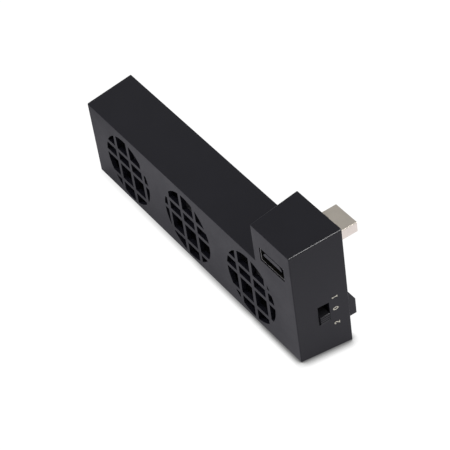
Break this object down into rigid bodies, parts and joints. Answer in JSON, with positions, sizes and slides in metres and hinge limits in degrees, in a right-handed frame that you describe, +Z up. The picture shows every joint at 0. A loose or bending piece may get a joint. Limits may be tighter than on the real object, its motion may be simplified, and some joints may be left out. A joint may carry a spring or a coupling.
{
  "type": "console cooling fan",
  "caption": "Slim drafted bar with round grid grilles over small axial fans, and a taller end block with a USB plug, a pass-through socket and a slide switch.",
  "frame": {"origin": "centre of the bounding box in X and Y, at the lowest edge of the housing", "axes": "+X along the bar towards the plug block, +Y from the grilles towards the console, out along the plug, +Z up"},
  "size_m": [0.1364, 0.033, 0.0538],
  "materials": {
    "housing_plastic": "fine matt moulded texture",
    "fan_plastic": "satin moulded",
    "impeller_plastic": "satin moulded",
    "knob_plastic": "satin moulded",
    "shell_metal": "nickel plated, satin",
    "plug_insulator": "smooth moulded",
    "socket_insulator": "smooth moulded",
    "contact_gold": "gold plated",
    "screw_steel": "zinc plated",
    "circuit_board": "solder resist",
    "yoke_steel": "bright drawn",
    "magnet_ferrite": "bonded ferrite",
    "shaft_steel": "ground",
    "clip_nylon": "natural",
    "sleeve_bronze": "sintered, oiled",
    "core_steel": "stamped laminations",
    "coil_copper": "enamelled wire",
    "chip_black": "moulded epoxy",
    "sensor_epoxy": "dipped epoxy",
    "switch_can": "tin plated",
    "switch_phenolic": "pressed laminate",
    "red_insulation": "soft insulation",
    "black_insulation": "soft insulation",
    "pale_white": "smooth and soft"
  },
  "bodies": {
    "housing": {"front_housing": "housing_plastic", "rear_cover": "housing_plastic", "case_screws": "screw_steel", "fan_screws": "screw_steel", "fan_frame_1": "fan_plastic", "fan_frame_2": "fan_plastic", "fan_frame_3": "fan_plastic", "bearing_sleeve_1": "sleeve_bronze", "bearing_sleeve_2": "sleeve_bronze", "bearing_sleeve_3": "sleeve_bronze", "bearing_cap_1": "fan_plastic", "bearing_cap_2": "fan_plastic", "bearing_cap_3": "fan_plastic", "stator_core_1": "core_steel", "stator_core_2": "core_steel", "stator_core_3": "core_steel", "stator_coils_1": "coil_copper", "stator_coils_2": "coil_copper", "stator_coils_3": "coil_copper", "fan_board_1": "circuit_board", "fan_board_2": "circuit_board", "fan_board_3": "circuit_board", "usb_board": "circuit_board", "usb_plug_shell": "shell_metal", "usb_plug_insulator": "plug_insulator", "usb_plug_contacts": "contact_gold", "usb_socket_shell": "shell_metal", "usb_socket_insulator": "socket_insulator", "usb_socket_contacts": "contact_gold", "controller_chip": "chip_black", "motor_transistor": "chip_black", "temperature_sensor": "sensor_epoxy", "switch_board": "circuit_board", "switch_shell": "switch_can", "switch_base": "switch_phenolic", "switch_contacts": "contact_gold", "red_leads": "red_insulation", "black_leads": "black_insulation", "switch_leads": "pale_white"},
    "rotor_1": {"impeller_1": "impeller_plastic", "rotor_yoke_1": "yoke_steel", "rotor_magnet_1": "magnet_ferrite", "rotor_shaft_1": "shaft_steel", "shaft_clip_1": "clip_nylon"},
    "rotor_2": {"impeller_2": "impeller_plastic", "rotor_yoke_2": "yoke_steel", "rotor_magnet_2": "magnet_ferrite", "rotor_shaft_2": "shaft_steel", "shaft_clip_2": "clip_nylon"},
    "rotor_3": {"impeller_3": "impeller_plastic", "rotor_yoke_3": "yoke_steel", "rotor_magnet_3": "magnet_ferrite", "rotor_shaft_3": "shaft_steel", "shaft_clip_3": "clip_nylon"},
    "knob": {"switch_knob": "knob_plastic", "switch_wiper": "contact_gold"}
  },
  "joints": [
    {"name": "fan_spin_1", "type": "hinge", "parent": "housing", "child": "rotor_1", "pos_m": [-0.0419, 0, 0.01784], "axis": [0, 1, 0], "continuous": true},
    {"name": "fan_spin_2", "type": "hinge", "parent": "housing", "child": "rotor_2", "pos_m": [-0.0014, 0, 0.01784], "axis": [0, 1, 0], "continuous": true},
    {"name": "fan_spin_3", "type": "hinge", "parent": "housing", "child": "rotor_3", "pos_m": [0.0391, 0, 0.01784], "axis": [0, 1, 0], "continuous": true},
    {"name": "switch_slide", "type": "slide", "parent": "housing", "child": "knob", "axis": [0, 0, 1], "range_m": [0, 0.004]}
  ]
}
